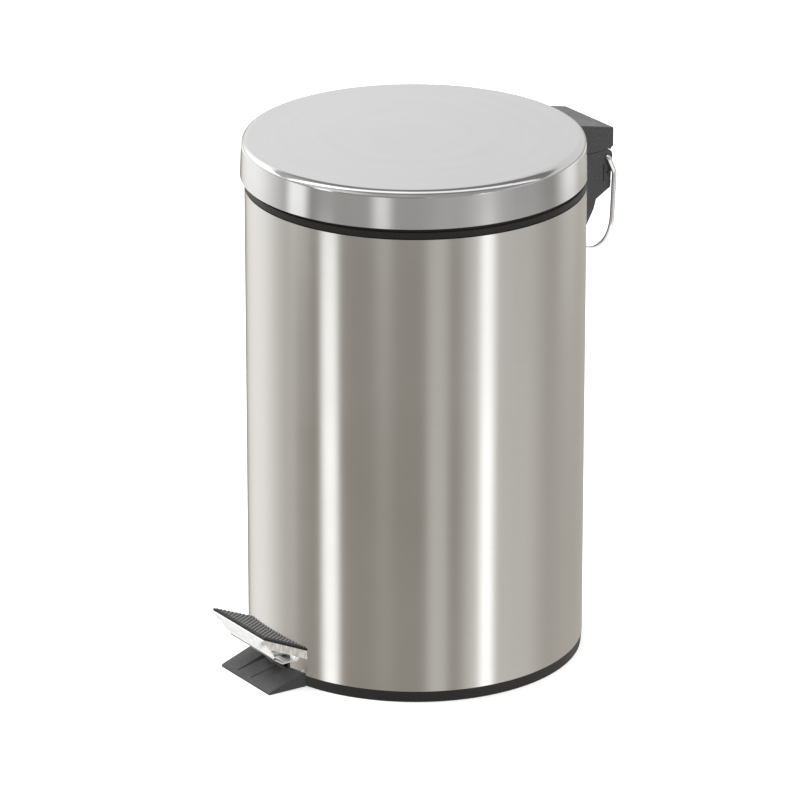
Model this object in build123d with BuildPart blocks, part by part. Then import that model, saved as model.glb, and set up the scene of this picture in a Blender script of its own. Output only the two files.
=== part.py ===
"""Twelve-litre pedal bin: steel sleeve and lid, plastic base and rims, inner bucket, pedal linkage.

Millimetres, +Z up. The origin is on the sleeve's axis, on the floor. The pedal is at -Y, the hinge at +Y.
"""
from build123d import *
import math
import os

os.makedirs("parts", exist_ok=True)

# ---------------------------------------------------------------- driving dimensions
SHEET = 0.6                 # stainless sheet of the sleeve and lid
BODY_R = 124.0              # outer radius of the sleeve
BODY_BOTTOM = 8.9           # the sleeve stands on the base's shoulder
BODY_TOP = 355.8            # and ends under the rim ring's shoulder
BODY_IR = BODY_R - SHEET
SEAT_R = BODY_IR - 0.1      # outer radius of what is pushed into the sleeve

FOOT_GAP = 0.4              # the pads hold the base this far off the floor
FLOOR_LOW = 2.0
FLOOR_TOP = 4.2
BASE_FOOT_R = 123.2
BASE_IR = 121.1
BASE_UPSTAND = 24.0

RIM_TOP = 363.6
RIM_BAND_R = BODY_R - 0.2   # the band that shows below the lid
RIM_BAND_TOP = 361.2
RIM_NECK_R = 122.6          # above the band the ring steps in, under the lid's overhang
RIM_GROOVE_R = 123.0        # and a groove parts the band from the sleeve's edge
RIM_GROOVE = 0.7
RIM_SKIRT = 12.0            # how far the ring reaches down inside the sleeve
RIM_IR = 121.0
RIM_LEDGE_IR = 116.0
RIM_LEDGE_TOP = 355.2
RIM_LEDGE = 2.4

LID_Y = -1.5                # the lid sits this far towards the front
LID_R = 125.9
LID_SHOULDER_R = 124.7
LID_BULGE = 0.04            # the lid's side is slightly crowned
LID_BOTTOM = 364.5
LID_EDGE = 392.5
LID_CROWN = 394.5
LID_FILLET = 5.5
LINER_BOTTOM = 366.6

HINGE_Y = 149.0             # lid hinge and carry handle share this axis
HINGE_Z = 356.6
HINGE_HALF = 30.0           # half width of the hinge cover and bracket
KNUCKLE_R = 5.4
BARREL_HALF = 19.6
HINGE_PIN_R = 2.5
HINGE_PIN_HALF = 24.2
LID_ANGLE = 75.0            # how far the lid opens
CRANK = 14.0                # crank pin to hinge axis
CRANK_PIN_R = 2.0
ROD_TRAVEL = 2 * CRANK * math.sin(math.radians(LID_ANGLE / 2))
CRANK_Y = HINGE_Y - CRANK * math.cos(math.radians(LID_ANGLE / 2))
CRANK_Z = HINGE_Z - ROD_TRAVEL / 2

AXLE_Y = -35.0              # pedal axle
AXLE_Z = 12.0
AXLE_R = 3.0
ROD_Y = 117.0               # push rod's lower run, inside the sleeve
ROD_Z = 8.0                 # its hook, through the lever
ROD_TOP_Y = 136.5           # its upper run, inside the bracket
ROD_R = 2.0
PEDAL_ANGLE = math.degrees(math.asin(ROD_TRAVEL / (ROD_Y - AXLE_Y)))

TREAD_TILT = 24.3           # the tread rises towards the front
TREAD_FRONT = (-156.5, 46.1)   # Y and Z of the tread's lower front edge
TREAD_THICK = 1.8
TREAD_RIB = 0.8
TREAD_RIB_PITCH = 2.5
TREAD_FRONT_HALF = 34.0
TREAD_REAR_HALF = 36.6
TREAD_LENGTH = 46.0
PEDAL_SHEET = 1.2
STRIP_HALF = 29.5

LEVER_HALF = 14.0
LEVER_SHEET = 1.5
LEVER_END = 119.4           # Y of the lever's rear end
LEVER_NOSE = -134.5         # and of its front end, riveted to the pedal plate

SCREW_R = 1.5               # shank of the self-tapping screws
SCREW_HOLE_R = 2.1          # and the holes that they pass through freely

BAIL_R = 1.8                # carry handle wire
BAIL_X = 32.3

BUCKET_FLOOR = 36.0
BUCKET_LOW_R = 106.0
BUCKET_TOP_R = 114.5
BUCKET_WALL = 1.5
BUCKET_FLANGE_R = 120.3
BUCKET_FLANGE = 2.0
BUCKET_WIRE_R = 1.6
BUCKET_WIRE_RING = 116.8

print(f"rod travel {ROD_TRAVEL:.3f} mm, pedal angle {PEDAL_ANGLE:.3f} degrees")

# ---------------------------------------------------------------- shared planes and helpers
TALL = 500.0                # longer than the bin, for cutters
LID_PLANE = Plane(origin=(0, LID_Y, 0), x_dir=(1, 0, 0), z_dir=(0, -1, 0))
LID_AXIS = Axis((0, LID_Y, 0), (0, 0, 1))
TILT = math.radians(TREAD_TILT)
TREAD_PLANE = Plane(
    origin=(0, *TREAD_FRONT),
    x_dir=(1, 0, 0),
    z_dir=(0, math.sin(TILT), math.cos(TILT)),
)


def across(x, y, z):
    """A plane that looks along +X, with its origin at the point."""
    return Plane(origin=(x, y, z), x_dir=(0, 1, 0), z_dir=(1, 0, 0))


def rearward(x, y, z):
    """A plane that looks along +Y, with its origin at the point."""
    return Plane(origin=(x, y, z), x_dir=(-1, 0, 0), z_dir=(0, 1, 0))


def box_between(low, high, mode=Mode.ADD):
    """A box between two corners."""
    size = [b - a for a, b in zip(low, high)]
    with Locations(tuple((a + b) / 2 for a, b in zip(low, high))):
        Box(*size, mode=mode)


def disc(plane, radius, length, mode=Mode.ADD):
    """A cylinder that stands on a plane."""
    with BuildSketch(plane) as profile:
        Circle(radius)
    extrude(profile.sketch, amount=length, mode=mode)


def save(builder, name):
    """Label a finished piece and write it out."""
    builder.part.label = name
    export_step(builder.part, f"parts/{name}.step")


# ---------------------------------------------------------------- base
PAD_RING_R = 104.0
PAD_R = 8.0
CENTRE_PAD_R = 12.0
RIB_HEIGHT = 5.0
STIFFENER_R = 84.0
LEVER_GAP = 36.0            # width of the way left for the lever
TOE_SCREW_X = 26.0
TOE_SCREW_Z = 6.4
CLIP_SCREW_R = 1.4
POST_X = 23.0               # middle of each axle post
POST_HALF = 4.0
POST_REACH = 9.0
CLIP_SCREW_Y = 6.0          # clip screws stand this far from the axle

with BuildPart() as base:
    with BuildSketch(Plane.XZ):
        with BuildLine():
            Polyline(
                (0, FLOOR_LOW), (BASE_IR - 0.4, FLOOR_LOW), (BASE_IR - 0.4, FOOT_GAP),
                (BASE_FOOT_R, FOOT_GAP), (BODY_R, BODY_BOTTOM), (SEAT_R, BODY_BOTTOM),
                (SEAT_R, BASE_UPSTAND), (BASE_IR, BASE_UPSTAND), (BASE_IR, FLOOR_TOP),
                (0, FLOOR_TOP), close=True,
            )
        make_face()
    revolve(axis=Axis.Z)
    # the upstand is open where the lever passes
    box_between((-22, -BODY_R, BODY_BOTTOM), (22, -BASE_IR + 8, BASE_UPSTAND), Mode.SUBTRACT)
    # stiffening ring under the bucket, open where the lever crosses it, and spokes out to the wall
    with BuildSketch(Plane.XY.offset(FLOOR_TOP)):
        Circle(STIFFENER_R)
        Circle(STIFFENER_R - 2.5, mode=Mode.SUBTRACT)
        with Locations((0, 1 - STIFFENER_R), (0, STIFFENER_R - 1)):
            Rectangle(LEVER_GAP, 12, mode=Mode.SUBTRACT)
    extrude(amount=RIB_HEIGHT)
    with BuildSketch(Plane.XY.offset(FLOOR_TOP)):
        with PolarLocations((STIFFENER_R + BASE_IR) / 2 - 1, 6):
            Rectangle(BASE_IR - STIFFENER_R, 2.4)
    extrude(amount=RIB_HEIGHT)
    # posts that carry the pedal axle
    for side in (-1, 1):
        box_between(
            (side * POST_X - POST_HALF, AXLE_Y - POST_REACH, FLOOR_TOP - 0.5),
            (side * POST_X + POST_HALF, AXLE_Y + POST_REACH, AXLE_Z),
        )
        for reach in (-CLIP_SCREW_Y, CLIP_SCREW_Y):
            disc(Plane((side * POST_X, AXLE_Y + reach, FLOOR_TOP + 1)), CLIP_SCREW_R, AXLE_Z, Mode.SUBTRACT)
    disc(across(-40, AXLE_Y, AXLE_Z), AXLE_R, 80, Mode.SUBTRACT)
    # holes for the toe piece's screws
    for side in (-1, 1):
        disc(rearward(side * TOE_SCREW_X, -BODY_R - 1, TOE_SCREW_Z), 1.8, 10, Mode.SUBTRACT)
save(base, "base")

with BuildPart() as floor_pads:
    with BuildSketch(Plane.XY):
        Circle(CENTRE_PAD_R)
        with PolarLocations(PAD_RING_R, 4, start_angle=45):
            Circle(PAD_R)
    extrude(amount=FLOOR_LOW)
    fillet(floor_pads.edges().group_by(Axis.Z)[0], 0.35)
save(floor_pads, "floor_pads")

# ---------------------------------------------------------------- toe piece in front of the base
TOE_FRONT = -150.6
TOE_LIP = 3.0
TOE_TOP = 11.0
TOE_FRONT_HALF = 32.0
TOE_REAR_HALF = 33.8
TOE_CHANNEL_HALF = 15.0
TOE_RIB_HALF = 2.0          # low rib along the middle of the channel
TOE_RIB = 0.8
TOE_NOTCH_HALF = 17.6       # behind the channel the sleeve's slot frame stands in a notch
TOE_BACK = -110.0           # the blank's back edge, before it is cut to follow the base
TOE_PAD_R = 2.6
TOE_PAD = 1.2
TOE_PAD_PLACES = [(-20, -145.8), (20, -145.8)]
TOE_SCREW_TIP = -130.5
TOE_SCREW_HEAD = -117.6

with BuildPart() as toe_piece:
    with BuildSketch(Plane.XY.offset(FOOT_GAP)):
        with BuildLine():
            Polyline(
                (-TOE_FRONT_HALF, TOE_FRONT), (TOE_FRONT_HALF, TOE_FRONT), (TOE_REAR_HALF, TOE_BACK),
                (-TOE_REAR_HALF, TOE_BACK), close=True,
            )
        make_face()
    extrude(amount=TOE_TOP - FOOT_GAP)
    # sloping top, with a small upright lip at the front
    with BuildSketch(Plane.YZ):
        with BuildLine():
            Polyline(
                (TOE_FRONT - 1, TOE_LIP - 1.2), (TOE_FRONT + 0.2, TOE_LIP - 1.2), (TOE_FRONT + 2.6, TOE_LIP),
                (-122, TOE_TOP), (-122, TOE_TOP + 5), (TOE_FRONT - 1, TOE_TOP + 5), close=True,
            )
        make_face()
    extrude(amount=60, both=True, mode=Mode.SUBTRACT)
    # channel that the lever sinks into, with a low rib left along its middle
    for rise, near, far in ((0, TOE_RIB_HALF, TOE_CHANNEL_HALF), (TOE_RIB, 0, TOE_RIB_HALF)):
        for start in (-far, near):
            with BuildSketch(across(start, 0, rise)):
                Polygon((-147.5, 2.6), (-122, 7.4), (-105, 7.4), (-105, 30), (-147.5, 30), align=None)
            extrude(amount=far - near, mode=Mode.SUBTRACT)
    # the back follows the base ring
    disc(Plane.XY, BODY_R + 0.15, TALL, Mode.SUBTRACT)
    box_between(
        (-TOE_NOTCH_HALF, -BODY_R - 0.8, BODY_BOTTOM), (TOE_NOTCH_HALF, TOE_BACK, TALL), Mode.SUBTRACT
    )
    # underside is cored out between two ribs
    with BuildSketch(Plane.XY):
        with Locations((0, -134)):
            with GridLocations(20, 1, 3, 1):
                Rectangle(17, 16)
    extrude(amount=2.0, mode=Mode.SUBTRACT)
    # screw holes from the base ring
    for side in (-1, 1):
        disc(rearward(side * TOE_SCREW_X, TOE_SCREW_TIP - 1.5, TOE_SCREW_Z), SCREW_R, 20, Mode.SUBTRACT)
    # sockets for its own pads
    for x, y in TOE_PAD_PLACES:
        disc(Plane((x, y, 0)), TOE_PAD_R, TOE_PAD, Mode.SUBTRACT)
save(toe_piece, "toe_piece")

with BuildPart() as toe_pads:
    for x, y in TOE_PAD_PLACES:
        disc(Plane((x, y, 0)), TOE_PAD_R, TOE_PAD)
save(toe_pads, "toe_pads")

with BuildPart() as toe_screws:
    for side in (-1, 1):
        shank = TOE_SCREW_HEAD - TOE_SCREW_TIP
        disc(rearward(side * TOE_SCREW_X, TOE_SCREW_TIP, TOE_SCREW_Z), SCREW_R, shank)
        disc(rearward(side * TOE_SCREW_X, TOE_SCREW_HEAD, TOE_SCREW_Z), 2.0, 1.4)
save(toe_screws, "toe_screws")

# ---------------------------------------------------------------- steel sleeve
SLOT_HALF = 17.1
SLOT_TOP = 28.1
ROD_SLOT_HALF = 3.6
ROD_SLOT = (301.0, 333.5)
BRACKET_SCREWS = [(-18, 340), (18, 340), (-10, 288), (10, 288)]
GROMMET_LINER = 1.5         # thickness of the grommet's frame behind the sleeve

with BuildPart() as body_tube:
    with BuildSketch(Plane.XY.offset(BODY_BOTTOM)):
        Circle(BODY_R)
        Circle(BODY_IR, mode=Mode.SUBTRACT)
    extrude(amount=BODY_TOP - BODY_BOTTOM)
    # pedal slot at the front
    box_between((-SLOT_HALF, -BODY_R - 1, 0), (SLOT_HALF, -BODY_R + 10, SLOT_TOP), Mode.SUBTRACT)
    # push rod slot and bracket screw holes at the back
    box_between((-ROD_SLOT_HALF, 110, ROD_SLOT[0]), (ROD_SLOT_HALF, 130, ROD_SLOT[1]), Mode.SUBTRACT)
    for x, z in BRACKET_SCREWS:
        disc(rearward(x, 110, z), SCREW_HOLE_R, 20, Mode.SUBTRACT)
save(body_tube, "body_tube")

with BuildPart() as slot_grommet:
    # thin frame inside the sleeve and a lip through its slot, open at the bottom
    with BuildSketch(Plane.XY.offset(BODY_BOTTOM + 0.2)):
        Circle(BODY_R + 0.5)
        Circle(BODY_IR - GROMMET_LINER, mode=Mode.SUBTRACT)
        with Locations((0, -BODY_R)):
            Rectangle(2 * SLOT_HALF - 0.2, 30, mode=Mode.INTERSECT)
    extrude(amount=SLOT_TOP - BODY_BOTTOM - 0.3)
    with BuildSketch(Plane.XY.offset(BODY_BOTTOM + 0.2)):
        Circle(SEAT_R)
        Circle(BODY_IR - GROMMET_LINER, mode=Mode.SUBTRACT)
        with Locations((0, -BODY_R)):
            Rectangle(42, 30, mode=Mode.INTERSECT)
    extrude(amount=SLOT_TOP - BODY_BOTTOM + 3)
    box_between((-15.5, -130, 0), (15.5, -110, SLOT_TOP - 1.6), Mode.SUBTRACT)
save(slot_grommet, "slot_grommet")

# ---------------------------------------------------------------- plastic rim ring on the sleeve
with BuildPart() as rim_ring:
    with BuildSketch(Plane.XZ):
        with BuildLine():
            Polyline(
                (SEAT_R, BODY_TOP - RIM_SKIRT), (SEAT_R, BODY_TOP), (RIM_BAND_R, BODY_TOP),
                (RIM_GROOVE_R, BODY_TOP + RIM_GROOVE / 2), (RIM_BAND_R, BODY_TOP + RIM_GROOVE),
                (RIM_BAND_R, RIM_BAND_TOP), (RIM_NECK_R, RIM_BAND_TOP), (RIM_NECK_R, RIM_TOP),
                (RIM_IR, RIM_TOP), (RIM_IR, RIM_LEDGE_TOP), (RIM_LEDGE_IR, RIM_LEDGE_TOP),
                (RIM_LEDGE_IR, RIM_LEDGE_TOP - RIM_LEDGE), (RIM_IR, RIM_LEDGE_TOP - RIM_LEDGE),
                (RIM_IR, BODY_TOP - RIM_SKIRT), close=True,
            )
        make_face()
    revolve(axis=Axis.Z)
    rounds = rim_ring.edges().filter_by(GeomType.CIRCLE)
    fillet(rounds.group_by(Axis.Z)[-1] + rounds.group_by(Axis.Z)[-2].sort_by(SortBy.RADIUS)[-1:], 0.4)
save(rim_ring, "rim_ring")

# ---------------------------------------------------------------- hinge bracket on the sleeve
def bracket_outline(inset, top):
    """Side view of the bracket, from the sleeve out to the back, drawn a wall's thickness further in."""
    return [
        (110, 262 + 3 * inset), (124.6 - 0.2 * inset, 262 + 3 * inset), (131.8 - inset, 296.5),
        (140.0 - 0.8 * inset, 325.2 + 0.7 * inset), (152.8 - inset, 332.4 + 0.7 * inset),
        (154.0 - inset, 350), (154.0 - inset, top), (110, top),
    ]


def bracket_front(inset):
    """Back view of the bracket: full width at the top, narrowing down its tail."""
    half = HINGE_HALF - inset
    return [
        (-half, 370), (-half, 318), (-16 + inset, 268), (-12 + inset, 263 + 2 * inset),
        (12 - inset, 263 + 2 * inset), (16 - inset, 268), (half, 318), (half, 370),
    ]


BRACKET_WALL = 2.8
BRACKET_TOP = 361.0
KNUCKLE_START = 20.0        # the knuckles run from here out to the bracket's cheeks
BAIL_BORE_START = 24.9
BOSS_R = 4.2
BOSS_FACE = {340: 136.0, 288: 127.6}      # how far back the upper and lower bosses reach
BORE_END = {340: 133.0, 288: 126.8}       # where their screw bores end
SCREW_TIP = {340: 132.5, 288: 126.4}
REST = ((28.0, 149.8, 342.9), (31.9, 151.8, 345.3))
WEB = ((18.0, 116.0, 338.8), (28.0, 134.0, 341.2))


def mirrored(corners, side):
    """The two corners of a box, on the given side of the middle plane."""
    (x0, y0, z0), (x1, y1, z1) = corners
    return (min(side * x0, side * x1), y0, z0), (max(side * x0, side * x1), y1, z1)


with BuildPart() as bracket_hollow:
    with BuildSketch(Plane.YZ):
        Polygon(*bracket_outline(BRACKET_WALL, BRACKET_TOP + 5), align=None)
    extrude(amount=HINGE_HALF, both=True)
    with BuildSketch(Plane.XZ):
        Polygon(*bracket_front(BRACKET_WALL), align=None)
    extrude(amount=TALL / 2, both=True, mode=Mode.INTERSECT)

with BuildPart() as hinge_bracket:
    with BuildSketch(Plane.YZ):
        Polygon(*bracket_outline(0, BRACKET_TOP), align=None)
        with Locations((HINGE_Y + 3, BRACKET_TOP)):
            Rectangle(6, 9, mode=Mode.SUBTRACT)
        with Locations((HINGE_Y, HINGE_Z)):
            Circle(KNUCKLE_R)
    extrude(amount=HINGE_HALF, both=True)
    with BuildSketch(Plane.XZ):
        Polygon(*bracket_front(0), align=None)
    extrude(amount=TALL / 2, both=True, mode=Mode.INTERSECT)
    add(bracket_hollow.part, mode=Mode.SUBTRACT)
    # room for the lid's barrel between the two knuckles
    box_between((-BARREL_HALF - 0.4, 140, 351.2), (BARREL_HALF + 0.4, 160, 370), Mode.SUBTRACT)
    for side in (-1, 1):
        start = KNUCKLE_START if side > 0 else -HINGE_HALF
        disc(across(start, HINGE_Y, HINGE_Z), KNUCKLE_R, HINGE_HALF - KNUCKLE_START)
        # blind bore for the hinge pin, and a smaller one for the carry handle
        pin_bore = HINGE_PIN_HALF + 0.2
        disc(across(min(0, side * pin_bore), HINGE_Y, HINGE_Z), HINGE_PIN_R, pin_bore, Mode.SUBTRACT)
        start = BAIL_BORE_START if side > 0 else -BAIL_BORE_START - 10
        disc(across(start, HINGE_Y, HINGE_Z), BAIL_R + 0.1, 10, Mode.SUBTRACT)
        # groove down the cheek, and a bevel behind it
        with BuildSketch(Plane.XY.offset(337.5)):
            Polygon(
                (side * 29.2, 145.9), (side * 31, 145.9), (side * 31, 156), (side * 29.4, 156),
                (side * 30.2, 147.1), (side * 29.2, 147.1), align=None,
            )
        extrude(amount=13.0, mode=Mode.SUBTRACT)
        # rest that the carry handle's leg hangs against
        box_between(*mirrored(REST, side))
    # bosses for the screws from inside the sleeve
    for x, z in BRACKET_SCREWS:
        disc(rearward(x, 110, z), BOSS_R, BOSS_FACE[z] - 110)
    for side in (-1, 1):
        box_between(*mirrored(WEB, side))
    for x, z in BRACKET_SCREWS:
        disc(rearward(x, 110, z), SCREW_R, BORE_END[z] - 110, Mode.SUBTRACT)
    # the front follows the sleeve
    disc(Plane.XY, BODY_R + 0.1, TALL, Mode.SUBTRACT)
save(hinge_bracket, "hinge_bracket")

with BuildPart() as hinge_pin:
    disc(across(-HINGE_PIN_HALF, HINGE_Y, HINGE_Z), HINGE_PIN_R, 2 * HINGE_PIN_HALF)
save(hinge_pin, "hinge_pin")

BACKING_IR = BODY_IR - 1.2
SCREW_HEAD_R = 3.6
SCREW_HEAD = 1.8

with BuildPart() as backing_plate:
    with BuildSketch(Plane.XY.offset(278)):
        Circle(BODY_IR - 0.05)
        Circle(BACKING_IR, mode=Mode.SUBTRACT)
        with Locations((0, BODY_R)):
            Rectangle(50, 40, mode=Mode.INTERSECT)
    extrude(amount=65)
    box_between((-ROD_SLOT_HALF, 110, ROD_SLOT[0]), (ROD_SLOT_HALF, 130, ROD_SLOT[1]), Mode.SUBTRACT)
    for x, z in BRACKET_SCREWS:
        disc(rearward(x, 110, z), SCREW_HOLE_R, 20, Mode.SUBTRACT)
save(backing_plate, "backing_plate")

with BuildPart() as bracket_screws:
    for x, z in BRACKET_SCREWS:
        face_y = math.sqrt(BACKING_IR ** 2 - (abs(x) + SCREW_HEAD_R) ** 2)
        disc(rearward(x, face_y - SCREW_HEAD, z), SCREW_HEAD_R, SCREW_HEAD)
        disc(rearward(x, face_y, z), SCREW_R, SCREW_TIP[z] - face_y)
save(bracket_screws, "bracket_screws")

# ---------------------------------------------------------------- pedal axle and what holds it
with BuildPart() as pedal_axle:
    disc(across(-27.5, AXLE_Y, AXLE_Z), AXLE_R, 55)
save(pedal_axle, "pedal_axle")

CLIP_TOP = 17.0
CLIP_SCREW_TIP = FLOOR_TOP + 1.5

with BuildPart() as axle_clips:
    for side in (-1, 1):
        box_between(
            (side * POST_X - POST_HALF + 0.5, AXLE_Y - POST_REACH, AXLE_Z),
            (side * POST_X + POST_HALF - 0.5, AXLE_Y + POST_REACH, CLIP_TOP),
        )
        for reach in (-CLIP_SCREW_Y, CLIP_SCREW_Y):
            disc(Plane((side * POST_X, AXLE_Y + reach, AXLE_Z)), 1.6, 10, Mode.SUBTRACT)
    fillet(axle_clips.edges().filter_by(Axis.X).group_by(Axis.Z)[-1], 2.0)
    disc(across(-40, AXLE_Y, AXLE_Z), AXLE_R, 80, Mode.SUBTRACT)
save(axle_clips, "axle_clips")

with BuildPart() as clip_screws:
    for side in (-1, 1):
        for reach in (-CLIP_SCREW_Y, CLIP_SCREW_Y):
            place = (side * POST_X, AXLE_Y + reach)
            disc(Plane((*place, CLIP_SCREW_TIP)), CLIP_SCREW_R, CLIP_TOP - CLIP_SCREW_TIP)
            disc(Plane((*place, CLIP_TOP)), 2.6, 1.6)
save(clip_screws, "clip_screws")

with BuildPart() as axle_spacers:
    for start in (-POST_X + POST_HALF + 0.1, LEVER_HALF + 0.3):
        disc(across(start, AXLE_Y, AXLE_Z), 5.2, POST_X - POST_HALF - LEVER_HALF - 0.4)
    disc(across(-40, AXLE_Y, AXLE_Z), AXLE_R + 0.05, 80, Mode.SUBTRACT)
save(axle_spacers, "axle_spacers")

# ---------------------------------------------------------------- pedal lever, plate and tread
LEVER_TOP = [(LEVER_NOSE, 23.4), (-118, 23.4), (-60, 17.0), (AXLE_Y, 16.4), (LEVER_END, 12.4)]
LEVER_LOW = [
    (LEVER_END, 5.0), (AXLE_Y, 7.6), (-60, 8.6), (-116, 19.3), (-122, 19.3), (-125.5, 21.9),
    (LEVER_NOSE, 21.9),
]
FORK_PLAY = 0.3
FORK_LENGTH = 10.0
RIVET_X = 8.0
RIVET_Y = -131.0
RIVET_R = 2.0
RIVET_HEAD_R = 3.2

with BuildPart() as lever_hollow:
    with BuildSketch(Plane.YZ):
        Polygon(
            *[(y, z - LEVER_SHEET) for y, z in LEVER_TOP], (LEVER_END + 9, LEVER_TOP[-1][1] - LEVER_SHEET),
            (LEVER_END + 9, 0), (LEVER_NOSE, 0), align=None,
        )
    extrude(amount=LEVER_HALF - LEVER_SHEET, both=True)

with BuildPart() as pedal_lever:
    with BuildSketch(Plane.YZ):
        Polygon(*LEVER_TOP, *LEVER_LOW, align=None)
    extrude(amount=LEVER_HALF, both=True)
    add(lever_hollow.part, mode=Mode.SUBTRACT)
    # the web stops short so that the push rod can rise between the side walls
    box_between((-LEVER_HALF + LEVER_SHEET, ROD_Y - 7, 0), (LEVER_HALF - LEVER_SHEET, 130, 30), Mode.SUBTRACT)
    disc(across(-20, AXLE_Y, AXLE_Z), AXLE_R + 0.05, 40, Mode.SUBTRACT)
    # fork for the rod's hook, open at the end of the right-hand wall
    with BuildSketch(across(0, ROD_Y - FORK_PLAY + FORK_LENGTH / 2, ROD_Z)):
        SlotCenterToCenter(FORK_LENGTH, 2 * ROD_R + FORK_PLAY)
    extrude(amount=2 * LEVER_HALF, mode=Mode.SUBTRACT)
    for side in (-1, 1):
        disc(Plane((side * RIVET_X, RIVET_Y, 15)), RIVET_R, 12, Mode.SUBTRACT)
save(pedal_lever, "pedal_lever")

NOSE = (-156.0, 45.2)       # Y and Z of the folded sheet's corners
LIP = (-143.4, 25.6)
STRIP_Z = 21.3              # its lower strip
STRIP_FRONT = -137.2
STRIP_REAR = -125.0
CURL_Y = -124.8             # eye rolled in each rear corner of the strip
CURL_R = 2.2
CURL_INNER = 24.0
CURL_OUTER = 30.3
CURL_BORE = 1.1
SLIT = 1.0                  # relief slit above the fold between the front face and the strip
SLIT_HALF = 28.3
with BuildPart() as pedal_plate:
    # one folded sheet: nose, front face and lower strip
    with BuildSketch(Plane.YZ):
        with BuildLine():
            FilletPolyline(NOSE, LIP, (STRIP_FRONT, STRIP_Z), (STRIP_REAR, STRIP_Z), radius=[1.2, 2.6])
        trace(line_width=PEDAL_SHEET)
    extrude(amount=TREAD_FRONT_HALF - 0.4, both=True)
    # front face narrows down to the strip
    with BuildSketch(Plane.XZ):
        Polygon(
            (-STRIP_HALF, 0), (STRIP_HALF, 0), (STRIP_HALF, LIP[1]), (TREAD_FRONT_HALF - 0.4, 46), (20, 70),
            (-20, 70), (-TREAD_FRONT_HALF + 0.4, 46), (-STRIP_HALF, LIP[1]), align=None,
        )
    extrude(amount=TALL / 2, both=True, mode=Mode.INTERSECT)
    # relief slit along the fold
    face_run = math.dist(NOSE, LIP)
    slit_middle = tuple(b + (a - b) * 1.1 / face_run for a, b in zip(NOSE, LIP))
    face_lean = math.degrees(math.atan2(NOSE[1] - LIP[1], NOSE[0] - LIP[0]))
    with BuildSketch(Plane.YZ):
        with Locations(Location(slit_middle, face_lean)):
            Rectangle(SLIT, 4 * PEDAL_SHEET)
    extrude(amount=SLIT_HALF, both=True, mode=Mode.SUBTRACT)
    # the lever's walls pass behind the strip
    box_between((-15, -127.0, 10), (15, -100, 35), Mode.SUBTRACT)
    # top plate under the tread, with a skirt down each side
    with BuildSketch(TREAD_PLANE):
        Polygon(
            (-TREAD_FRONT_HALF + 0.3, 0.3), (TREAD_FRONT_HALF - 0.3, 0.3),
            (TREAD_REAR_HALF - 0.3, TREAD_LENGTH), (-TREAD_REAR_HALF + 0.3, TREAD_LENGTH), align=None,
        )
    extrude(amount=-PEDAL_SHEET)
    for side in (-1, 1):
        with BuildSketch(TREAD_PLANE):
            Polygon(
                (side * (TREAD_FRONT_HALF - 0.3), 0.3), (side * (TREAD_FRONT_HALF - 0.3 - PEDAL_SHEET), 0.3),
                (side * (TREAD_REAR_HALF - 0.3 - PEDAL_SHEET), TREAD_LENGTH),
                (side * (TREAD_REAR_HALF - 0.3), TREAD_LENGTH), align=None,
            )
        extrude(amount=-6.0)
    # the skirts end at the front face
    with BuildSketch(Plane.YZ):
        Polygon(
            (LIP[0] - 0.5, LIP[1] - 0.3), (NOSE[0] - 0.5, NOSE[1] - 0.3), (-170, 66), (-180, 10), align=None
        )
    extrude(amount=60, both=True, mode=Mode.SUBTRACT)
    disc(Plane.XY, BODY_R + 1.4, TALL, Mode.SUBTRACT)
    # both rear corners of the strip roll up into an eye
    curl_z = STRIP_Z - PEDAL_SHEET / 2 + CURL_R
    for start in (-CURL_OUTER, CURL_INNER):
        disc(across(start, CURL_Y, curl_z), CURL_R, CURL_OUTER - CURL_INNER)
        disc(across(start, CURL_Y, curl_z), CURL_BORE, CURL_OUTER - CURL_INNER, Mode.SUBTRACT)
    for side in (-1, 1):
        disc(Plane((side * RIVET_X, RIVET_Y, 15)), RIVET_R, 12, Mode.SUBTRACT)
save(pedal_plate, "pedal_plate")

STRIP_LOW = STRIP_Z - PEDAL_SHEET / 2
with BuildPart() as pedal_rivets:
    for side in (-1, 1):
        disc(Plane((side * RIVET_X, RIVET_Y, STRIP_LOW - 1.2)), RIVET_HEAD_R, 1.2)
        disc(Plane((side * RIVET_X, RIVET_Y, STRIP_LOW)), RIVET_R, LEVER_TOP[0][1] - STRIP_LOW)
        disc(Plane((side * RIVET_X, RIVET_Y, LEVER_TOP[0][1])), RIVET_HEAD_R, 1.0)
save(pedal_rivets, "pedal_rivets")

BORDER = 1.6
RIB_WIDTH = 1.25
RIB_LENGTH = 150.0          # longer than the tread's diagonal
with BuildPart() as pedal_tread:
    with BuildSketch(TREAD_PLANE):
        Polygon(
            (-TREAD_FRONT_HALF, 0), (TREAD_FRONT_HALF, 0), (TREAD_REAR_HALF, TREAD_LENGTH),
            (-TREAD_REAR_HALF, TREAD_LENGTH), align=None,
        )
    extrude(amount=TREAD_THICK)
    # diagonal ribs inside a plain border
    with BuildSketch(TREAD_PLANE.offset(TREAD_THICK)):
        reach = TREAD_LENGTH + TREAD_REAR_HALF
        steps = int(reach * math.sqrt(2) / TREAD_RIB_PITCH)
        for k in range(-steps, steps + 1):
            with Locations(Location((k * TREAD_RIB_PITCH * math.sqrt(2), TREAD_LENGTH / 2), 45)):
                Rectangle(RIB_WIDTH, RIB_LENGTH)
        Polygon(
            (-TREAD_FRONT_HALF + BORDER, BORDER), (TREAD_FRONT_HALF - BORDER, BORDER),
            (TREAD_REAR_HALF - BORDER, TREAD_LENGTH), (-TREAD_REAR_HALF + BORDER, TREAD_LENGTH),
            align=None, mode=Mode.INTERSECT,
        )
    extrude(amount=TREAD_RIB)
    disc(Plane.XY, BODY_R + 1.2, TALL, Mode.SUBTRACT)
save(pedal_tread, "pedal_tread")

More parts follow.
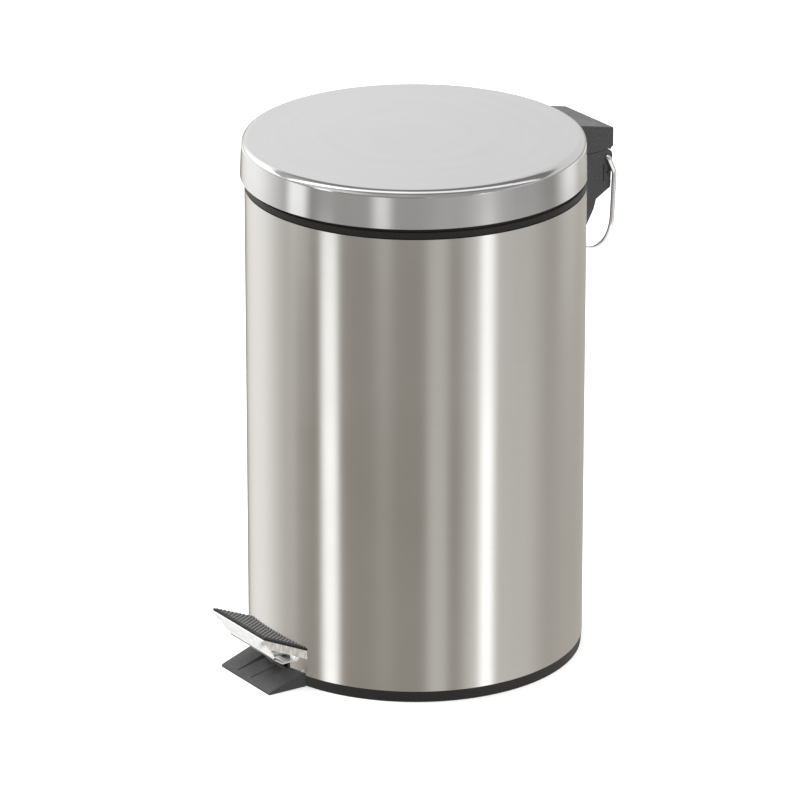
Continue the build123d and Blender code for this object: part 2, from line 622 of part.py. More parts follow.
# ---------------------------------------------------------------- push rod
HEAD_LOW = CRANK_Z - 11.1
HEAD_TOP = CRANK_Z + 4.9
EYE_PLAY = 0.35             # clearance all round the crank pin in the rod head's eye
EYE_FRONT = HINGE_Y - CRANK
EYE_LENGTH = CRANK_Y - EYE_FRONT
HOOK_X = 18.5               # the hook ends this far to the right
ROD_END = CRANK_Z - 2.6     # the rod ends inside the head
GUIDE_LOWS = (64, 234)

with BuildPart() as push_rod:
    with BuildLine():
        FilletPolyline(
            (HOOK_X, ROD_Y, ROD_Z), (0, ROD_Y, ROD_Z), (0, ROD_Y, 296), (0, ROD_TOP_Y, 330),
            (0, ROD_TOP_Y, ROD_END), radius=[5.0, 12.0, 12.0],
        )
    with BuildSketch(across(HOOK_X, ROD_Y, ROD_Z)):
        Circle(ROD_R)
    sweep()
save(push_rod, "push_rod")

with BuildPart() as rod_head:
    box_between((-5, 130.6, HEAD_LOW), (5, 142.2, HEAD_TOP))
    fillet(rod_head.edges().filter_by(Axis.X), 1.5)
    with BuildSketch(across(-10, EYE_FRONT + EYE_LENGTH / 2, CRANK_Z)):
        SlotCenterToCenter(EYE_LENGTH, 2 * (CRANK_PIN_R + EYE_PLAY))
    extrude(amount=20, mode=Mode.SUBTRACT)
    disc(Plane((0, ROD_TOP_Y, HEAD_LOW - 1)), ROD_R, ROD_END - HEAD_LOW + 1, Mode.SUBTRACT)
save(rod_head, "rod_head")

with BuildPart() as rod_clip:
    disc(across(LEVER_HALF + 0.4, ROD_Y, ROD_Z), 3.1, 1.2)
    disc(across(LEVER_HALF, ROD_Y, ROD_Z), ROD_R, 4, Mode.SUBTRACT)
save(rod_clip, "rod_clip")

with BuildPart() as rod_guides:
    for low in GUIDE_LOWS:
        box_between((-7, 114.4, low), (7, 124, low + 12))
    fillet(rod_guides.edges().filter_by(Axis.Z).group_by(Axis.Y)[0], 2)
    with BuildSketch(Plane.XY):
        Circle(BODY_IR - 0.05)
    extrude(amount=TALL, mode=Mode.INTERSECT)
    disc(Plane((0, ROD_Y, 50)), ROD_R + 0.1, 220, Mode.SUBTRACT)
save(rod_guides, "rod_guides")

# ---------------------------------------------------------------- lid
COVER_SCREWS_X = 20.0
COVER_SCREWS_Z = 373.0

def lid_form(inset):
    """The lid as a solid, drawn a sheet's thickness further in for its inside."""
    foot_r = LID_R - inset
    edge_r = LID_SHOULDER_R - inset
    edge_z = LID_EDGE - inset
    crown = LID_CROWN - LID_EDGE
    dome_r = (edge_r ** 2 + crown ** 2) / (2 * crown)
    halfway_drop = dome_r - math.sqrt(dome_r ** 2 - (edge_r / 2) ** 2)
    with BuildPart() as form:
        with BuildSketch(LID_PLANE) as section:
            with BuildLine() as outline:
                Polyline((0, LID_CROWN - inset), (0, LID_BOTTOM), (foot_r, LID_BOTTOM))
                ThreePointArc(
                    (foot_r, LID_BOTTOM),
                    ((foot_r + edge_r) / 2 + LID_BULGE, (LID_BOTTOM + edge_z) / 2),
                    (edge_r, edge_z),
                )
                ThreePointArc(
                    (edge_r, edge_z),
                    (edge_r / 2, LID_CROWN - inset - halfway_drop),
                    (0, LID_CROWN - inset),
                )
            make_face(outline.edges())
            shoulder = section.vertices().filter_by(lambda v: v.X > LID_R / 2).sort_by(Axis.Y)[-1]
            fillet(shoulder, LID_FILLET - inset)
        revolve(section.sketch, axis=LID_AXIS)
    return form.part


with BuildPart() as lid_shell:
    add(lid_form(0))
    add(lid_form(SHEET), mode=Mode.SUBTRACT)
    # hem rolled inwards round the bottom edge
    with BuildSketch(LID_PLANE):
        with Locations((LID_R - SHEET - 0.35, LID_BOTTOM + 0.9)):
            Rectangle(1.2, 1.8)
    revolve(axis=LID_AXIS)
    for side in (-1, 1):
        disc(rearward(side * COVER_SCREWS_X, 100, COVER_SCREWS_Z), SCREW_HOLE_R, 40, Mode.SUBTRACT)
save(lid_shell, "lid_shell")

LINER_R = LID_SHOULDER_R - SHEET - 0.3
LINER_WALL = 2.0
LINER_LIP = 16.0            # how far the liner reaches in under the lid's top
BUMPER_R = LINER_R - 1.9
BUMPER_ANGLE = 25.0
with BuildPart() as lid_liner:
    with BuildSketch(LID_PLANE):
        with BuildLine():
            Polyline(
                (LINER_R, LINER_BOTTOM), (LINER_R, LID_EDGE - 6.5), (LINER_R - LINER_LIP, LID_EDGE - 2.4),
                (LINER_R - LINER_LIP, LID_EDGE - 4.2), (LINER_R - LINER_WALL, LID_EDGE - 8.0),
                (LINER_R - LINER_WALL, LINER_BOTTOM), close=True,
            )
        make_face()
    revolve(axis=LID_AXIS)
    for side in (-1, 1):
        disc(rearward(side * COVER_SCREWS_X, 100, COVER_SCREWS_Z), SCREW_HOLE_R, 40, Mode.SUBTRACT)
save(lid_liner, "lid_liner")

with BuildPart() as lid_bumpers:
    with BuildSketch(Plane.XY.offset(RIM_TOP + 0.1)):
        with Locations((0, LID_Y)):
            for middle in (0, 180):
                with PolarLocations(BUMPER_R, 2, middle - BUMPER_ANGLE, 2 * BUMPER_ANGLE, endpoint=True):
                    SlotOverall(9, 1.8, rotation=90)
    extrude(amount=LINER_BOTTOM - RIM_TOP - 0.1)
save(lid_bumpers, "lid_bumpers")

# ---------------------------------------------------------------- hinge cover on the lid
COVER_TOP_FRONT = (112, 387.2)
COVER_TOP_REAR = (155.4, 377.9)
COVER_LOW = BRACKET_TOP + 0.4
COVER_WALL = 2.5
COVER_LID_GAP = 0.3         # outside the lid's straight side, so that its crowned side clears
ARM_INNER = 13.0            # the two arms down to the crank pin
ARM_WIDTH = 5.0
CRANK_PIN_HALF = 18.6

with BuildPart() as hinge_cover:
    with BuildSketch(Plane.YZ):
        Polygon(
            (112, COVER_LOW), COVER_TOP_FRONT, COVER_TOP_REAR, (155.5, 364.1), (153.9, 363.1),
            (152.6, COVER_LOW), align=None,
        )
    extrude(amount=HINGE_HALF, both=True)
    fillet(hinge_cover.edges().filter_by(Axis.X).group_by(Axis.Z)[-2], 1.2)
    fillet(hinge_cover.edges().filter_by(Plane.YZ).group_by(Axis.X)[-1].sort_by(Axis.Z)[-1], 0.8)
    fillet(hinge_cover.edges().filter_by(Plane.YZ).group_by(Axis.X)[0].sort_by(Axis.Z)[-1], 0.8)
    # hollow underneath
    with BuildSketch(Plane.YZ):
        Polygon(
            (110, COVER_LOW - 5), (110, 384.9), (153.0, 375.7), (153.0, COVER_LOW - 5), align=None
        )
    extrude(amount=HINGE_HALF - COVER_WALL, both=True, mode=Mode.SUBTRACT)
    # cheeks arch over the bracket's knuckles
    disc(across(-40, HINGE_Y, HINGE_Z), KNUCKLE_R + 0.4, 80, Mode.SUBTRACT)
    # front wall against the lid, with screw bosses
    box_between((-HINGE_HALF, 118, COVER_LOW), (HINGE_HALF, 129.5, 380.5))
    for side in (-1, 1):
        disc(rearward(side * COVER_SCREWS_X, 118, COVER_SCREWS_Z), BOSS_R, 18)
        disc(rearward(side * COVER_SCREWS_X, 118, COVER_SCREWS_Z), SCREW_R, 16, Mode.SUBTRACT)
    with BuildSketch(LID_PLANE):
        with BuildLine():
            Polyline(
                (0, 350), (LID_R + COVER_LID_GAP, 350), (LID_R + COVER_LID_GAP, LID_BOTTOM),
                (LID_SHOULDER_R + COVER_LID_GAP, LID_EDGE), (LID_SHOULDER_R + COVER_LID_GAP, 400), (0, 400),
                close=True,
            )
        make_face()
    revolve(axis=LID_AXIS, mode=Mode.SUBTRACT)
    # two arms down to the hinge barrel and the crank pin
    for start in (-ARM_INNER - ARM_WIDTH, ARM_INNER):
        with BuildSketch(across(start, HINGE_Y, HINGE_Z)):
            Circle(KNUCKLE_R - 0.2)
            with Locations((CRANK_Y - HINGE_Y, CRANK_Z - HINGE_Z)):
                Circle(CRANK_PIN_R + 2)
            make_hull()
            Polygon((-KNUCKLE_R, 0), (4.0, 0), (4.0, 20.5), (-KNUCKLE_R, 22), align=None)
        extrude(amount=ARM_WIDTH)
    disc(across(-BARREL_HALF, HINGE_Y, HINGE_Z), KNUCKLE_R - 0.2, 2 * BARREL_HALF)
    disc(across(-30, HINGE_Y, HINGE_Z), HINGE_PIN_R + 0.05, 60, Mode.SUBTRACT)
    disc(across(-30, CRANK_Y, CRANK_Z), CRANK_PIN_R, 60, Mode.SUBTRACT)
save(hinge_cover, "hinge_cover")

with BuildPart() as crank_pin:
    disc(across(-CRANK_PIN_HALF, CRANK_Y, CRANK_Z), CRANK_PIN_R, 2 * CRANK_PIN_HALF)
save(crank_pin, "crank_pin")

with BuildPart() as cover_screws:
    head_y = LID_Y + math.sqrt((LINER_R - LINER_WALL) ** 2 - (COVER_SCREWS_X + SCREW_HEAD_R) ** 2)
    for side in (-1, 1):
        disc(rearward(side * COVER_SCREWS_X, head_y - SCREW_HEAD, COVER_SCREWS_Z), SCREW_HEAD_R, SCREW_HEAD)
        disc(rearward(side * COVER_SCREWS_X, head_y, COVER_SCREWS_Z), SCREW_R, 133.5 - head_y)
save(cover_screws, "cover_screws")

# ---------------------------------------------------------------- carry handle
BAIL_ELBOW = (154.6, 344.5)
BAIL_LEG_END = (152.9, 311.0)
leg_run = math.dist(BAIL_ELBOW, BAIL_LEG_END)
BAIL_LOW = [b + (b - a) * BAIL_X / leg_run for a, b in zip(BAIL_ELBOW, BAIL_LEG_END)]
BAIL_TIP = BAIL_BORE_START + 0.3


def bail_side(side):
    """One end and leg of the carry handle, from the bore outwards and down."""
    return FilletPolyline(
        (side * BAIL_TIP, HINGE_Y, HINGE_Z), (side * BAIL_X, HINGE_Y, HINGE_Z), (side * BAIL_X, *BAIL_ELBOW),
        (side * BAIL_X, *BAIL_LEG_END), radius=[2.3, 12.0],
    )


with BuildPart() as carry_handle:
    with BuildLine():
        bail_side(-1)
        ThreePointArc((-BAIL_X, *BAIL_LEG_END), (0, *BAIL_LOW), (BAIL_X, *BAIL_LEG_END))
        bail_side(1)
    with BuildSketch(across(-BAIL_TIP, HINGE_Y, HINGE_Z)):
        Circle(BAIL_R)
    sweep()
save(carry_handle, "carry_handle")

# ---------------------------------------------------------------- inner bucket
FLANGE_LOW = RIM_LEDGE_TOP + 0.1
FLANGE_TOP = FLANGE_LOW + BUCKET_FLANGE
BUCKET_PIVOT_Z = FLANGE_TOP + BUCKET_WIRE_R + 0.2
LUG_IN = 112.9
LUG_OUT = 114.6
BUCKET_WIRE_TIP = 111.0

with BuildPart() as inner_bucket:
    with BuildSketch(Plane.XZ):
        with BuildLine():
            Polyline(
                (0, BUCKET_FLOOR), (BUCKET_LOW_R, BUCKET_FLOOR), (BUCKET_TOP_R, FLANGE_LOW),
                (BUCKET_FLANGE_R, FLANGE_LOW), (BUCKET_FLANGE_R, FLANGE_TOP),
                (BUCKET_TOP_R - BUCKET_WALL, FLANGE_TOP),
                (BUCKET_LOW_R - BUCKET_WALL, BUCKET_FLOOR + 2), (0, BUCKET_FLOOR + 2), close=True,
            )
        make_face()
    revolve(axis=Axis.Z)
    fillet(inner_bucket.edges().filter_by(GeomType.CIRCLE).group_by(Axis.Z)[0], 5)
    # lugs for the wire handle
    for side in (-1, 1):
        box_between(*mirrored(((LUG_IN, -5, FLANGE_TOP - 1), (LUG_OUT, 5, BUCKET_PIVOT_Z + 3.6)), side))
    disc(across(-120, 0, BUCKET_PIVOT_Z), BUCKET_WIRE_R + 0.1, 240, Mode.SUBTRACT)
save(inner_bucket, "inner_bucket")

with BuildPart() as bucket_handle:
    with BuildLine(Plane.XY.offset(BUCKET_PIVOT_Z)) as bucket_wire:
        Line((-BUCKET_WIRE_TIP, 0), (-BUCKET_WIRE_RING, 0))
        ThreePointArc((-BUCKET_WIRE_RING, 0), (0, -BUCKET_WIRE_RING), (BUCKET_WIRE_RING, 0))
        Line((BUCKET_WIRE_RING, 0), (BUCKET_WIRE_TIP, 0))
        fillet(bucket_wire.vertices().filter_by(lambda v: abs(v.X) > BUCKET_WIRE_RING - 0.1), 2.0)
    with BuildSketch(across(-BUCKET_WIRE_TIP, 0, BUCKET_PIVOT_Z)):
        Circle(BUCKET_WIRE_R)
    sweep()
save(bucket_handle, "bucket_handle")
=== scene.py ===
"""Finishes, studio and camera for a twelve-litre pedal bin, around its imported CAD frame.

Metres, +Z up. The pedal is at -Y and the hinge at +Y.
"""
import bpy
import math
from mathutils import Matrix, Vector

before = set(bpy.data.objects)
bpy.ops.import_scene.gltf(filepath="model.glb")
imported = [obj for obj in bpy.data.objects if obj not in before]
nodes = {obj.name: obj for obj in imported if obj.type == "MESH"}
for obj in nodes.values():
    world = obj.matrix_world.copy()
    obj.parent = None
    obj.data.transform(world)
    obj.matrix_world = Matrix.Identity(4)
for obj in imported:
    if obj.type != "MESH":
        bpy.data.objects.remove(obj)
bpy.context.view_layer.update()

MM = 0.001
UP = (0, 0, 1)


# ---------------------------------------------------------------- node trees
class Tree:
    """A node tree, with short calls to add nodes and to link them."""

    def __init__(self, tree, coordinates):
        self.tree = tree
        self.place = self.add("TexCoord").outputs[coordinates]

    def feed(self, socket, value):
        """Set a socket to a number, vector or colour, or link another node's output to it."""
        if isinstance(value, bpy.types.NodeSocket):
            self.tree.links.new(value, socket)
        elif socket.type == "RGBA":
            socket.default_value = (*value, 1.0)
        else:
            socket.default_value = value

    def add(self, kind, inputs=None, **settings):
        """A shader node with its settings, and its inputs fed by name or by number."""
        node = self.tree.nodes.new("ShaderNode" + kind)
        for name, value in settings.items():
            setattr(node, name, value)
        for key, value in (inputs or {}).items():
            self.feed(node.inputs[key], value)
        return node

    def dot(self, vector, direction):
        """How far a vector leans in a direction."""
        return self.add("VectorMath", {0: vector, 1: direction}, operation="DOT_PRODUCT").outputs["Value"]

    def ramp(self, value, start, end, low=0.0, high=1.0, curve="LINEAR"):
        """A value's run from start to end, taken to low-high, and held there outside it."""
        inputs = {"Value": value, "From Min": start, "From Max": end, "To Min": low, "To Max": high}
        return self.add("MapRange", inputs, interpolation_type=curve).outputs["Result"]

    def mix(self, factor, a, b, kind="MIX"):
        """Two colours, mixed or added."""
        inputs = {"Factor": factor, "A": a, "B": b}
        return self.add("Mix", inputs, data_type="RGBA", blend_type=kind).outputs["Result"]


class Finish(Tree):
    """A material, with short calls for what the finishes below need."""

    def __init__(self, name, colour, roughness, metallic=0.0):
        self.material = bpy.data.materials.new(name)
        self.material.use_nodes = True
        super().__init__(self.material.node_tree, "Object")
        self.shader = self.tree.nodes["Principled BSDF"]
        self.put("Base Color", colour)
        self.put("Roughness", roughness)
        self.put("Metallic", metallic)

    def put(self, name, value):
        """Feed one of the shader's own inputs."""
        self.feed(self.shader.inputs[name], value)

    def noise(self, scale, detail=2.0, squeeze=(1, 1, 1)):
        """Noise of about one blob per 1/scale metres, squeezed along each axis."""
        place = self.add("Mapping", {"Vector": self.place, "Scale": squeeze}).outputs["Vector"]
        inputs = {"Vector": place, "Scale": scale, "Detail": detail}
        return self.add("TexNoise", inputs).outputs["Fac"]

    def cells(self, scale):
        """A random value per cell."""
        return self.add("TexVoronoi", {"Vector": self.place, "Scale": scale}).outputs["Color"]

    def spread(self, value, low, high):
        """The middle of a noise's range, taken to low-high."""
        return self.ramp(value, 0.3, 0.7, low, high)

    def tint(self, value, dark, light):
        """Base colour between two colours, by a value."""
        self.put("Base Color", self.mix(value, dark, light))

    def rough(self, value, low, high):
        """Roughness that varies with a noise."""
        self.put("Roughness", self.spread(value, low, high))

    def shade_line(self, place, reach, colour):
        """A line of painted shade along X through a place, in another colour over the base colour that is
        there.
        """
        flat = self.add("VectorMath", {0: self.place, 1: (0, 1, 1)}, operation="MULTIPLY").outputs["Vector"]
        away = self.add("VectorMath", {0: flat, 1: place}, operation="DISTANCE").outputs["Value"]
        unshaded = self.shader.inputs["Base Color"].links[0].from_socket
        self.put("Base Color", self.mix(self.ramp(away, 0.7 * reach, reach), colour, unshaded))

    def bump(self, height, depth):
        """Relief of a given depth. Calls add up."""
        inputs = {"Height": height, "Distance": depth, "Strength": 1.0}
        before = self.shader.inputs["Normal"].links
        if before:
            inputs["Normal"] = before[0].from_socket
        self.put("Normal", self.add("Bump", inputs).outputs["Normal"])

    def brushed(self, direction, amount):
        """Highlights drawn out along a direction."""
        axis = self.add("CombineXYZ", dict(enumerate(direction)))
        self.put("Anisotropic", amount)
        self.put("Tangent", axis.outputs["Vector"])


def give(material, *names):
    """Put a finish on CAD nodes."""
    for name in names:
        slots = nodes[name].data.materials
        slots.clear()
        slots.append(material)


# ---------------------------------------------------------------- finishes
SHEET_GRAIN = (14, 14, 5200)           # grain that runs round the bin, in fine lines
TREAD_TILT = math.radians(24.3)        # the tread rises towards the front
TREAD_RIB = 0.8 * MM
SLIT_PLACE = Vector((0, -144.0, 26.5)) * MM      # slit at the foot of the pedal's front face, along which a line of painted shade runs
SLIT_SHADE_REACH = 1.2 * MM


def sleeve_steel():
    """Stainless sheet with a fine grain that runs round the sleeve."""
    f = Finish("sleeve_steel", (0.66, 0.66, 0.655), 0.19, metallic=1.0)
    grain = f.noise(1.0, 3.0, SHEET_GRAIN)
    f.tint(f.spread(grain, 0.25, 0.75), (0.63, 0.63, 0.625), (0.69, 0.69, 0.685))
    f.rough(f.noise(9.0, 3.0), 0.175, 0.205)
    f.bump(grain, 0.002 * MM)
    f.brushed(UP, 0.5)
    return f.material


def lid_steel():
    """The same sheet pressed into the lid, with a finer satin finish."""
    f = Finish("lid_steel", (0.67, 0.67, 0.67), 0.13, metallic=1.0)
    grain = f.noise(1.0, 3.0, SHEET_GRAIN)
    f.tint(f.spread(grain, 0.3, 0.7), (0.645, 0.645, 0.645), (0.695, 0.695, 0.695))
    f.rough(f.noise(7.0, 3.0), 0.115, 0.145)
    f.bump(f.noise(900.0), 0.002 * MM)
    return f.material


def bright_steel():
    """Folded pedal sheet, nearly polished, with light scuffs, and a line of painted shade along its slit.
    """
    f = Finish("bright_steel", (0.78, 0.78, 0.77), 0.16, metallic=0.9)
    scuffs = f.noise(160.0, 6.0, (1, 3, 1))
    f.tint(f.spread(scuffs, 0.0, 1.0), (0.62, 0.62, 0.61), (0.92, 0.92, 0.91))
    # painted shade: a near-black line along the slit stands in for the shadow in the fold
    f.shade_line(SLIT_PLACE, SLIT_SHADE_REACH, (0.02, 0.02, 0.02))
    f.rough(scuffs, 0.12, 0.24)
    f.bump(scuffs, 0.01 * MM)
    return f.material


def chrome_wire():
    """Bright plating on drawn wire."""
    f = Finish("chrome_wire", (0.86, 0.86, 0.87), 0.1, metallic=1.0)
    drawn = f.noise(400.0, 3.0)
    f.tint(f.spread(drawn, 0.2, 0.8), (0.80, 0.80, 0.81), (0.90, 0.90, 0.91))
    f.rough(drawn, 0.07, 0.14)
    f.bump(drawn, 0.004 * MM)
    return f.material


def zinc_plate():
    """Dull zinc plating with a faint spangle."""
    f = Finish("zinc_plate", (0.60, 0.61, 0.63), 0.38, metallic=1.0)
    haze = f.noise(60.0, 4.0)
    f.tint(f.cells(420.0), (0.52, 0.53, 0.55), (0.68, 0.69, 0.70))
    f.rough(haze, 0.30, 0.46)
    f.bump(haze, 0.01 * MM)
    return f.material


def moulded(name, dark, light, roughness, grain_depth, shine=0.5):
    """Injection-moulded plastic with an eroded grain and a little handling shine."""
    f = Finish(name, dark, roughness)
    f.put("Specular IOR Level", shine)
    speckle = f.noise(900.0, 3.0)
    f.tint(f.spread(speckle, 0.0, 1.0), dark, light)
    f.rough(f.noise(38.0, 4.0), roughness - 0.07, roughness + 0.06)
    f.bump(f.noise(2600.0), grain_depth)
    f.bump(speckle, grain_depth)
    return f.material


def rubber(name, colour):
    """Dull black rubber, slightly dusty."""
    f = Finish(name, colour, 0.7)
    dust = f.noise(220.0, 5.0)
    f.tint(f.spread(dust, 0.0, 1.0), colour, tuple(c + 0.03 for c in colour))
    f.rough(dust, 0.58, 0.78)
    f.bump(f.noise(3000.0), 0.03 * MM)
    return f.material


def tread_rubber(name):
    """Rubber whose rib tops are painted pale, partly as scuffing and partly as painted light, and whose
    grooves are painted near black as painted shade.
    """
    f = Finish("tread_rubber", (0.02, 0.02, 0.02), 0.6)
    upwards = Vector((0, math.sin(TREAD_TILT), math.cos(TREAD_TILT)))
    top = max(vertex.co.dot(upwards) for vertex in nodes[name].data.vertices)
    # painted light and shade, partly scuffing: colour by height over the tread, pale on the rib tops, near
    # black in the grooves
    wear_and_painted_light = f.ramp(f.dot(f.place, upwards), top - TREAD_RIB, top)
    f.tint(wear_and_painted_light, (0.010, 0.010, 0.010), (0.17, 0.17, 0.168))
    f.rough(f.noise(220.0, 5.0), 0.52, 0.68)
    f.bump(f.noise(3000.0), 0.03 * MM)
    return f.material


give(sleeve_steel(), "body_tube")
give(lid_steel(), "lid_shell")
give(bright_steel(), "pedal_plate")
give(chrome_wire(), "carry_handle")
give(
    zinc_plate(),
    "push_rod", "pedal_lever", "pedal_axle", "toe_screws", "bracket_screws", "clip_screws", "cover_screws",
    "bucket_handle", "backing_plate", "hinge_pin", "crank_pin", "pedal_rivets", "rod_clip",
)
give(
    moulded("black_plastic", (0.017, 0.0165, 0.015), (0.034, 0.033, 0.031), 0.45, 0.03 * MM, shine=0.25),
    "base", "rim_ring", "slot_grommet", "lid_liner",
)
give(
    moulded("grained_plastic", (0.078, 0.078, 0.079), (0.142, 0.142, 0.144), 0.46, 0.08 * MM, shine=0.3),
    "hinge_cover", "hinge_bracket",
)
give(
    moulded("toe_plastic", (0.068, 0.068, 0.069), (0.104, 0.104, 0.105), 0.48, 0.06 * MM, shine=0.3),
    "toe_piece",
)
give(
    moulded("bucket_plastic", (0.055, 0.057, 0.060), (0.066, 0.068, 0.072), 0.36, 0.01 * MM),
    "inner_bucket", "axle_clips", "axle_spacers", "rod_guides", "rod_head",
)
give(rubber("black_rubber", (0.018, 0.018, 0.018)), "floor_pads", "toe_pads", "lid_bumpers")
give(tread_rubber("pedal_tread"), "pedal_tread")

# the brushed sleeve shows no picture of the pedal that stands in front of it
for name in ("toe_piece", "pedal_tread", "pedal_plate"):
    nodes[name].visible_glossy = False


# ---------------------------------------------------------------- camera
VIEW_AZIMUTH = math.radians(55.6)      # from -Y towards +X
VIEW_ELEVATION = math.radians(20.94)
VIEW_DISTANCE = 4.356
VIEW_HEIGHT = 0.1879
PAN = 0.0113                           # the bin stands this far right of the picture's centre
LENS = 267.2                           # millimetres, on a sensor 36 mm wide

back = Vector((
    math.sin(VIEW_AZIMUTH) * math.cos(VIEW_ELEVATION),
    -math.cos(VIEW_AZIMUTH) * math.cos(VIEW_ELEVATION),
    math.sin(VIEW_ELEVATION),
))
picture_right = Vector((math.cos(VIEW_AZIMUTH), math.sin(VIEW_AZIMUTH), 0))
middle = Vector((0, 0, VIEW_HEIGHT))

lens = bpy.data.cameras.new("camera")
lens.lens = LENS
lens.sensor_width = 36.0
lens.clip_end = 200.0
camera = bpy.data.objects.new("camera", lens)
bpy.context.scene.collection.objects.link(camera)
camera.location = middle + back * VIEW_DISTANCE
aim = middle - picture_right * PAN
camera.rotation_euler = (aim - camera.location).to_track_quat("-Z", "Y").to_euler()
bpy.context.scene.camera = camera


# ---------------------------------------------------------------- floor
FLOOR_REACH = 30.0
FLOOR_EMISSION = 0.55


def make_floor():
    """A wide pale floor. The bin takes its light from the studio's panels, not from the floor."""
    mesh = bpy.data.meshes.new("floor")
    corners = [(x * FLOOR_REACH, y * FLOOR_REACH, 0) for x, y in ((-1, -1), (1, -1), (1, 1), (-1, 1))]
    mesh.from_pydata(corners, [], [(0, 1, 2, 3)])
    floor = bpy.data.objects.new("floor", mesh)
    bpy.context.scene.collection.objects.link(floor)
    paper = Finish("paper", (0.93, 0.93, 0.93), 0.95)
    paper.put("Specular IOR Level", 0.1)
    paper.put("Emission Color", (1.0, 1.0, 1.0))
    paper.put("Emission Strength", FLOOR_EMISSION)
    mesh.materials.append(paper.material)
    floor.visible_glossy = False
    floor.visible_diffuse = False


make_floor()


# ---------------------------------------------------------------- studio
# Upright strips round the bin: centre, half width and soft edge in degrees, from the camera's side
# towards the picture's right, and brightness. The sleeve mirrors these,
WALL_STRIPS = [
    (-134, 22, 36, 0.48),
    (-125, 36, 10, 0.28),
    (-60.4, 6.3, 5, 1.45),
    (15, 7, 8, 0.36),
    (44, 10, 16, 0.45),
    (50, 5, 6, 1.20),
    (72, 20, 24, 0.18),
    (116, 58, 8, 0.21),
]
# and the side of the lid, which leans back a little, mirrors these, a little higher.
LID_STRIPS = [
    (-140, 36, 52, 0.92),
    (-82.5, 8, 9, 0.96),
    (-20.8, 5.5, 9, 0.58),
    (5, 60, 30, 0.10),
    (28, 12, 16, 0.07),
    (50, 10, 20, 0.22),
    (78, 14, 20, 0.11),
    (126.5, 13, 22, 0.88),
    (165, 20, 16, 0.62),
]
# Strips overhead: degrees from the horizon behind the bin, over the top, to the horizon in front.
CEILING_STRIPS = [
    (10, 40, 14, 0.66),
    (105, 14, 12, 1.15),
    (160, 18, 14, 0.20),
]
WARM_WALL = (0.305, 0.27, 0.22)
LID_WALL = (0.335, 0.33, 0.32)
CEILING = (0.26, 0.26, 0.257)
CEILING_FALL = 0.16                    # how much darker the ceiling is to the picture's right
CEILING_LEFT = 0.9                     # and how much lighter it is far to the left
FLOOR_GLOW = (1.15, 1.15, 1.14)
PALE = (1.0, 1.0, 1.0)
SOFT_ABOVE = (0.66, 0.66, 0.66)        # what matt surfaces gather from above the horizon
SOFT_BELOW = (0.25, 0.25, 0.25)        # and from below it
# Soft edges between the panels: where each starts and ends, by the upward part of a ray's direction,
FLOOR_EDGE = (-0.50, -0.62)
LID_BAND_FOOT = (-0.312, -0.282)
LID_BAND_TOP = (-0.10, -0.14)
CEILING_EDGE = (-0.02, 0.08)
HORIZON = (-0.15, 0.15)
# and by its part towards the picture's right.
CEILING_MIDDLE = (-0.12, 0.12)
CEILING_FAR_LEFT = (-0.35, -0.75)


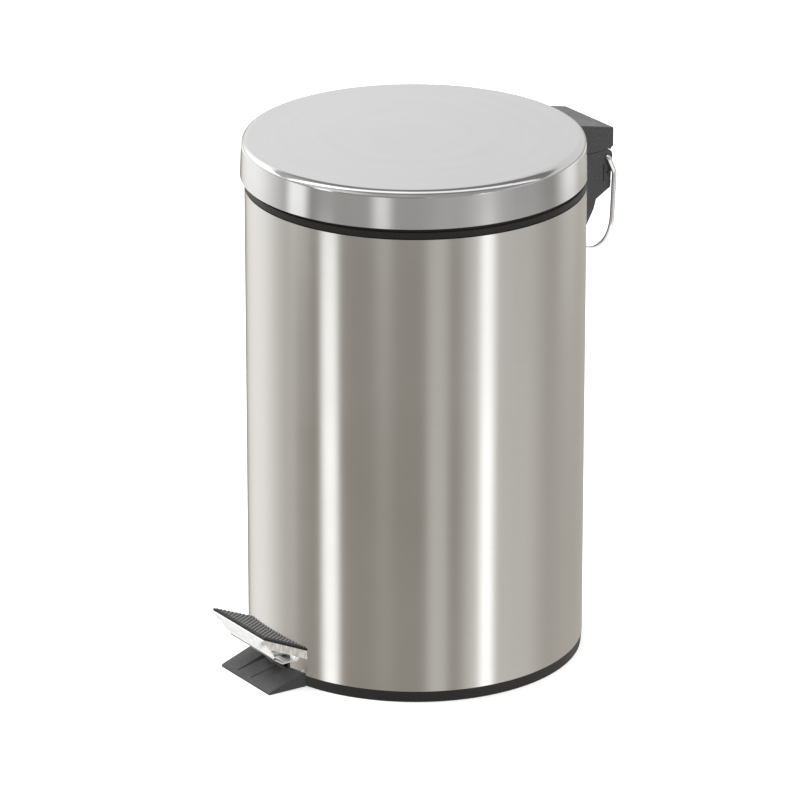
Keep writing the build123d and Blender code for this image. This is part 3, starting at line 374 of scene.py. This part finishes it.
class Studio(Tree):
    """World light: plain white to the eye and to matt surfaces, and soft strip panels to shiny ones."""

    def __init__(self):
        world = bpy.data.worlds.new("studio")
        bpy.context.scene.world = world
        world.use_nodes = True
        world.cycles.sampling_method = "NONE"
        super().__init__(world.node_tree, "Generated")
        self.across = self.dot(self.place, picture_right)
        self.height = self.dot(self.place, UP)
        towards = self.dot(self.place, Vector((back.x, back.y, 0)) / math.cos(VIEW_ELEVATION))
        self.side = self.turn(self.across, towards)
        self.over = self.turn(self.height, self.math("MULTIPLY", towards, -1))

    def math(self, operation, *values):
        """One of Blender's arithmetic nodes."""
        return self.add("Math", dict(enumerate(values)), operation=operation).outputs[0]

    def turn(self, across, along):
        """A direction's angle in degrees."""
        return self.math("MULTIPLY", self.math("ARCTAN2", across, along), 180 / math.pi)

    def step(self, value, start, end):
        """0 before start, 1 after end, smooth between."""
        return self.ramp(value, start, end, curve="SMOOTHSTEP")

    def strip(self, angle, centre, half, soft, strength):
        """A panel from centre - half to centre + half degrees, fading over soft degrees at both edges."""
        off = self.math("ABSOLUTE", self.math("SUBTRACT", angle, centre))
        inside = self.math("SUBTRACT", 1.0, self.step(off, half - soft / 2, half + soft / 2))
        return self.math("MULTIPLY", inside, strength)

    def panels(self, backdrop, angle, strips):
        """A backdrop of one colour with white strips on it."""
        light = self.strip(angle, *strips[0])
        for strip in strips[1:]:
            light = self.math("ADD", light, self.strip(angle, *strip))
        grey = self.add("CombineColor", dict(enumerate((light, light, light))))
        return self.mix(1.0, backdrop, grey.outputs["Color"], "ADD")

    def scaled(self, colour, factor):
        """A colour, brighter or darker."""
        return self.add("VectorMath", {0: colour, "Scale": factor}, operation="SCALE").outputs["Vector"]


def light_studio():
    """Stack the panels by height: floor, low wall, the lid's band, low wall again, ceiling."""
    s = Studio()
    wall = s.panels(WARM_WALL, s.side, WALL_STRIPS)
    band = s.panels(LID_WALL, s.side, LID_STRIPS)
    darker = s.math("MULTIPLY", s.step(s.across, *CEILING_MIDDLE), CEILING_FALL)
    lighter = s.math("MULTIPLY", s.step(s.across, *CEILING_FAR_LEFT), CEILING_LEFT)
    level = s.math("ADD", lighter, s.math("SUBTRACT", 1 + CEILING_FALL / 2, darker))
    ceiling = s.scaled(s.panels(CEILING, s.over, CEILING_STRIPS), level)
    in_band = s.math("MULTIPLY", s.step(s.height, *LID_BAND_FOOT), s.step(s.height, *LID_BAND_TOP))
    shiny = s.mix(in_band, wall, band)
    shiny = s.mix(s.step(s.height, *CEILING_EDGE), shiny, ceiling)
    shiny = s.mix(s.step(s.height, *FLOOR_EDGE), shiny, FLOOR_GLOW)
    matt = s.mix(s.step(s.height, *HORIZON), SOFT_BELOW, SOFT_ABOVE)
    path = s.add("LightPath").outputs
    colour = s.mix(path["Is Glossy Ray"], PALE, shiny)
    colour = s.mix(path["Is Diffuse Ray"], colour, matt)
    s.feed(s.tree.nodes["Background"].inputs["Color"], colour)


def soft_light(name, place, size, power):
    """A large square area light that looks at the bin."""
    data = bpy.data.lights.new(name, "AREA")
    data.size = size
    data.energy = power
    lamp = bpy.data.objects.new(name, data)
    bpy.context.scene.collection.objects.link(lamp)
    lamp.location = place
    lamp.rotation_euler = (middle - lamp.location).to_track_quat("-Z", "Y").to_euler()
    lamp.visible_glossy = False


light_studio()
soft_light("top_light", place=Vector((-1.1, -0.9, 2.6)), size=1.4, power=66.0)
soft_light("fill_light", place=Vector((1.8, 0.6, 1.8)), size=1.6, power=6.0)
bpy.context.scene.view_settings.view_transform = "Standard"
